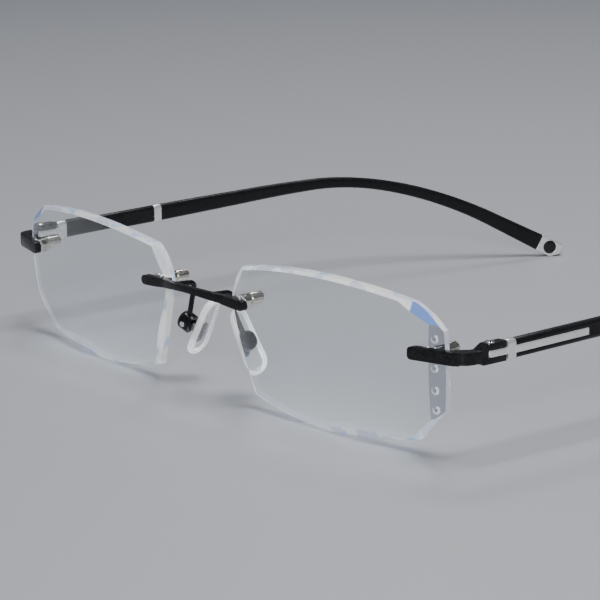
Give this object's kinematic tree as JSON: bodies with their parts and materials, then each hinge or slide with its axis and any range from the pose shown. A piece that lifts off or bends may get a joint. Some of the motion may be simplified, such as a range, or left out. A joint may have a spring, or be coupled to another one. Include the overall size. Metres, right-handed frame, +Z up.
{
  "type": "rimless eyeglasses",
  "caption": "Rimless eyeglasses with clear faceted-edge lenses, a slim metal bridge, rocking nose pads and folding temples.",
  "frame": {"origin": "on the resting surface, under the middle of the bounding box, glasses standing on the lower lens edges and the temple tips with the temples open", "axes": "+X towards the wearer's left, +Y backwards along the temples, +Z up"},
  "size_m": [0.1446, 0.1542, 0.0312],
  "materials": {
    "lens_glass": "clear, polished edges",
    "crystal": "clear, faceted",
    "black_metal": "semi-gloss black lacquer",
    "pale_gold": "pale gold-silver plating, polished",
    "clear_nylon": "clear nylon",
    "clear_silicone": "clear soft silicone",
    "steel": "turned",
    "black_temple": "satin black",
    "black_dot": "gloss black",
    "silver": "polished silver plating"
  },
  "bodies": {
    "front": {"bridge": "black_metal", "end_piece_left": "black_metal", "end_piece_right": "black_metal", "hinge_screw_left": "steel", "hinge_screw_right": "steel", "lens_left": "lens_glass", "lens_right": "lens_glass", "nasal_cap_nut_left": "pale_gold", "nasal_cap_nut_right": "pale_gold", "nasal_nut_left": "pale_gold", "nasal_nut_right": "pale_gold", "nasal_post_left": "pale_gold", "nasal_post_right": "pale_gold", "nasal_sleeve_left": "clear_nylon", "nasal_sleeve_right": "clear_nylon", "nasal_washer_left": "pale_gold", "nasal_washer_right": "pale_gold", "pad_arm_left": "black_metal", "pad_arm_right": "black_metal", "pad_box_left": "black_metal", "pad_box_right": "black_metal", "pad_screw_left": "steel", "pad_screw_right": "steel", "rhinestone_1": "crystal", "rhinestone_2": "crystal", "rhinestone_3": "crystal", "rhinestone_4": "crystal", "temporal_cap_nut_left": "pale_gold", "temporal_cap_nut_right": "pale_gold", "temporal_nut_left": "pale_gold", "temporal_nut_right": "pale_gold", "temporal_post_left": "pale_gold", "temporal_post_right": "pale_gold", "temporal_sleeve_left": "clear_nylon", "temporal_sleeve_right": "clear_nylon", "temporal_washer_left": "pale_gold", "temporal_washer_right": "pale_gold"},
    "temple_left": {"temple_bar_left": "silver", "temple_cap_left": "silver", "temple_end_left": "black_temple", "temple_front_left": "black_temple", "temple_ring_left": "silver", "temple_tip_left": "silver", "tip_dot_left": "black_dot"},
    "temple_right": {"temple_bar_right": "silver", "temple_cap_right": "silver", "temple_end_right": "black_temple", "temple_front_right": "black_temple", "temple_ring_right": "silver", "temple_tip_right": "silver", "tip_dot_right": "black_dot"},
    "pad_left": {"nose_pad_left": "clear_silicone", "pad_core_left": "steel"},
    "pad_right": {"nose_pad_right": "clear_silicone", "pad_core_right": "steel"}
  },
  "joints": [
    {"name": "temple_left_fold", "type": "hinge", "parent": "front", "child": "temple_left", "pos_m": [0.07055, -0.06162, 0.02027], "axis": [0, 0, 1], "range_deg": [0, 80]},
    {"name": "temple_right_fold", "type": "hinge", "parent": "front", "child": "temple_right", "pos_m": [-0.07055, -0.06162, 0.02027], "axis": [0, 0, -1], "range_deg": [0, 70]},
    {"name": "pad_left_rock", "type": "hinge", "parent": "front", "child": "pad_left", "pos_m": [0.01037, -0.06858, 0.0123], "axis": [-0.2003, -0.9651, -0.1689], "range_deg": [-8, 8]},
    {"name": "pad_right_rock", "type": "hinge", "parent": "front", "child": "pad_right", "pos_m": [-0.01037, -0.06858, 0.0123], "axis": [0.2003, -0.9651, -0.1689], "range_deg": [-8, 8]}
  ]
}
